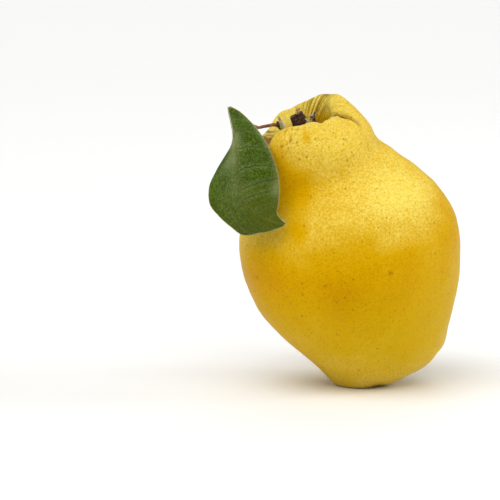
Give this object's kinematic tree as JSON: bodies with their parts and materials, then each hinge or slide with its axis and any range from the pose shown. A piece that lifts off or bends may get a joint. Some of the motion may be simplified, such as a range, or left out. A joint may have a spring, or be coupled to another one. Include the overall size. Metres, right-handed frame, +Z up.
{
  "type": "quince",
  "caption": "Whole ripe quince with a lobed neck, a broken twig stub and its leaf in the stem hollow, and a dry calyx in the blossom hollow, resting on a small flat spot.",
  "frame": {"origin": "middle of the flat spot that the fruit rests on, under the rim of its blossom end", "axes": "+Z up, out of the surface that the quince stands on; -Y towards the front, where the leaf hangs; +X to the right, away from the leaf"},
  "size_m": [0.0942, 0.0824, 0.1101],
  "materials": {
    "skin": "satin",
    "dead_wood": "matte",
    "dry_scale": "matte",
    "leaf_stalk": "matte",
    "leaf": "satin",
    "dry_calyx": "matte"
  },
  "bodies": {
    "root": {"fruit": "skin", "spur": "dead_wood", "bract": "dead_wood", "stipule": "dry_scale", "leaf_stalk": "leaf_stalk", "leaf_blade": "leaf", "calyx": "dry_calyx"}
  },
  "joints": []
}
